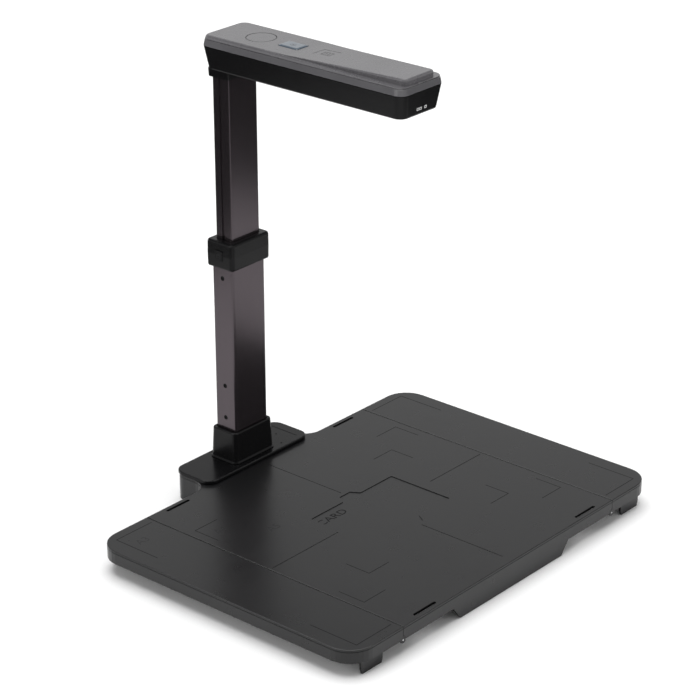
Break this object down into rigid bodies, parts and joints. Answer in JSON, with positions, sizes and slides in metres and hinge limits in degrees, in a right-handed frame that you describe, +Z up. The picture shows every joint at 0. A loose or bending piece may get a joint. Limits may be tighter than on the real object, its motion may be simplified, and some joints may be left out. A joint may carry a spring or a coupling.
{
  "type": "book scanner",
  "caption": "Overhead document and book scanner: folding pad with side wings, telescopic column with clamp collar, and a swivelling camera arm.",
  "frame": {"origin": "on the table under the middle of the scanner's outline, wings unfolded", "axes": "+X to the right of a reader at the front, +Y towards the column, +Z up"},
  "size_m": [0.454, 0.366, 0.4732],
  "materials": {
    "pad_plastic": "fine spark-eroded texture, satin",
    "column_plastic": "smooth satin moulding",
    "cover_plastic": "satin lacquer",
    "band_plastic": "satin gloss",
    "button_plastic": "smooth gloss",
    "bush_plastic": "acetal, as moulded",
    "tube_aluminium": "brushed, gunmetal anodised",
    "bright_steel": "plated",
    "dark_steel": "black oxide",
    "rubber": "matt",
    "lens_glass": "coated",
    "diffuser": "frosted",
    "circuit_board": "solder mask"
  },
  "bodies": {
    "base": {"centre_panel": "pad_plastic", "hinge_pin_left_front": "bright_steel", "hinge_pin_left_rear": "bright_steel", "hinge_pin_right_front": "bright_steel", "hinge_pin_right_rear": "bright_steel", "rubber_foot_front_left": "rubber", "rubber_foot_front_right": "rubber", "rubber_foot_rear_left": "rubber", "rubber_foot_rear_right": "rubber", "ballast_plate": "dark_steel", "ballast_screw_1": "bright_steel", "ballast_screw_2": "bright_steel", "ballast_screw_3": "bright_steel", "ballast_screw_4": "bright_steel", "foot_plate": "column_plastic", "pedestal": "column_plastic", "pedestal_screw_1": "bright_steel", "pedestal_screw_2": "bright_steel", "cable_gland": "rubber", "lower_tube": "tube_aluminium", "tube_screw_1": "dark_steel", "tube_screw_2": "dark_steel", "travel_stop": "dark_steel", "collar": "column_plastic", "collar_bush": "bush_plastic", "brake_shoe": "bush_plastic", "lock_spring": "bright_steel"},
    "left_leaf": {"left_wing": "pad_plastic"},
    "right_leaf": {"right_wing": "pad_plastic"},
    "mast": {"upper_tube": "tube_aluminium", "guide_shoe": "bush_plastic", "head_seat": "column_plastic"},
    "lock": {"lock_button": "column_plastic"},
    "head": {"head_housing": "column_plastic", "waist_band": "band_plastic", "top_cover": "cover_plastic", "badge_disc": "cover_plastic", "swivel_washer": "bush_plastic", "swivel_nut": "bright_steel", "lens_glass": "lens_glass", "camera_barrel": "column_plastic", "camera_board": "circuit_board", "lamp_board": "circuit_board", "lamp_diffuser_front": "diffuser", "lamp_diffuser_rear": "diffuser"},
    "scan_key": {"touch_button": "button_plastic"}
  },
  "joints": [
    {"name": "left_wing_fold", "type": "hinge", "parent": "base", "child": "left_leaf", "pos_m": [-0.159, -0.0235, 0.01375], "axis": [0, -1, 0], "range_deg": [0, 180]},
    {"name": "right_wing_fold", "type": "hinge", "parent": "base", "child": "right_leaf", "pos_m": [0.159, -0.0235, 0.01375], "axis": [0, 1, 0], "range_deg": [0, 180]},
    {"name": "mast_slide", "type": "slide", "parent": "base", "child": "mast", "axis": [0, 0, 1], "range_m": [-0.16, 0]},
    {"name": "lock_press", "type": "slide", "parent": "base", "child": "lock", "axis": [1, 0, 0], "range_m": [0, 0.001], "stiffness_N_per_m": 600, "springref_m": -0.001, "deforming": ["lock_spring"]},
    {"name": "head_swivel", "type": "hinge", "parent": "mast", "child": "head", "pos_m": [0, 0.155, 0.4368], "axis": [0, 0, 1], "range_deg": [-90, 90]},
    {"name": "key_press", "type": "slide", "parent": "head", "child": "scan_key", "axis": [0, 0, -1], "range_m": [0, 0.0006], "stiffness_N_per_m": 800, "springref_m": -0.001}
  ]
}
